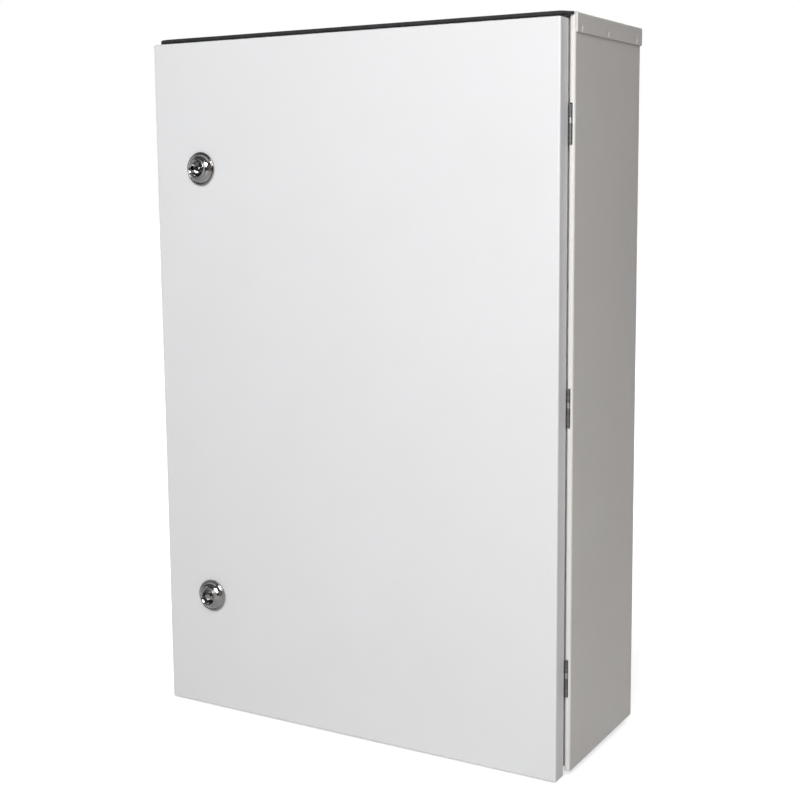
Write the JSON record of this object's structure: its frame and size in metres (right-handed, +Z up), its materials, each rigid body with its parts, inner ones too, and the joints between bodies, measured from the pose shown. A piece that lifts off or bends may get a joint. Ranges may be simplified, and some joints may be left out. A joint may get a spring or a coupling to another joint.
{
  "type": "wall-mounted switchboard cabinet",
  "caption": "Wall-mounted sheet-steel switchboard cabinet with a gasketed side-hinged door, quarter-turn locks, a mounting plate inside and a cable-entry plate below.",
  "frame": {"origin": "centre of the four wall-fixing holes, on the wall plane that the rear pads stand on", "axes": "+Y into the wall (the door faces -Y), +Z up, +X to the right seen from the front; the door is hinged on its +X edge"},
  "size_m": [0.4026, 0.1675, 0.607],
  "materials": {
    "body_paint": "light grey powder coat, fine orange-peel texture",
    "door_paint": "light grey powder coat, fine orange-peel texture",
    "black_rubber": "matt extruded rubber",
    "gasket_foam": "matt foamed polyurethane bead with a closed skin",
    "galvanised_steel": "galvanised sheet with a faint spangle",
    "zinc_plated_steel": "bright zinc plating",
    "copper_plated_steel": "copper-plated weld stud",
    "hinge_steel": "dark phosphated hinge steel",
    "pin_steel": "bright hinge pin and collar",
    "lock_chrome": "polished chrome-plated zinc die casting"
  },
  "bodies": {
    "body": {"body_wrap": "body_paint", "roof_cap": "body_paint", "head_rail": "body_paint", "floor_pan": "body_paint", "gland_plate": "body_paint", "roof_seal": "black_rubber", "gland_gasket": "black_rubber", "gland_plate_screws": "zinc_plated_steel", "gland_weld_nuts": "zinc_plated_steel", "mounting_plate": "galvanised_steel", "plate_studs": "zinc_plated_steel", "plate_spacers": "zinc_plated_steel", "plate_washers": "zinc_plated_steel", "plate_nuts": "zinc_plated_steel", "body_earth_stud": "copper_plated_steel", "body_earth_nuts": "zinc_plated_steel", "hinge_upper_body_leaf": "hinge_steel", "hinge_upper_pin": "pin_steel", "hinge_middle_body_leaf": "hinge_steel", "hinge_middle_pin": "pin_steel", "hinge_lower_body_leaf": "hinge_steel", "hinge_lower_pin": "pin_steel"},
    "door": {"door_panel": "door_paint", "door_gasket": "gasket_foam", "door_earth_stud": "copper_plated_steel", "door_earth_nuts": "zinc_plated_steel", "hinge_upper_door_leaf": "hinge_steel", "hinge_middle_door_leaf": "hinge_steel", "hinge_lower_door_leaf": "hinge_steel", "lock_upper_housing": "lock_chrome", "lock_upper_seal": "black_rubber", "lock_upper_nut": "zinc_plated_steel", "lock_lower_housing": "lock_chrome", "lock_lower_seal": "black_rubber", "lock_lower_nut": "zinc_plated_steel"},
    "lock_upper": {"lock_upper_driver": "lock_chrome", "lock_upper_cam": "zinc_plated_steel", "lock_upper_cam_screw": "zinc_plated_steel"},
    "lock_lower": {"lock_lower_driver": "lock_chrome", "lock_lower_cam": "zinc_plated_steel", "lock_lower_cam_screw": "zinc_plated_steel"}
  },
  "joints": [
    {"name": "door_hinge", "type": "hinge", "parent": "body", "child": "door", "pos_m": [0.1964, -0.1421, 0], "axis": [0, 0, 1], "range_deg": [0, 110]},
    {"name": "upper_lock_turn", "type": "hinge", "parent": "door", "child": "lock_upper", "pos_m": [-0.145, -0.1589, 0.1865], "axis": [0, -1, 0], "range_deg": [0, 90]},
    {"name": "lower_lock_turn", "type": "hinge", "parent": "door", "child": "lock_lower", "pos_m": [-0.145, -0.1589, -0.199], "axis": [0, -1, 0], "range_deg": [0, 90]}
  ]
}
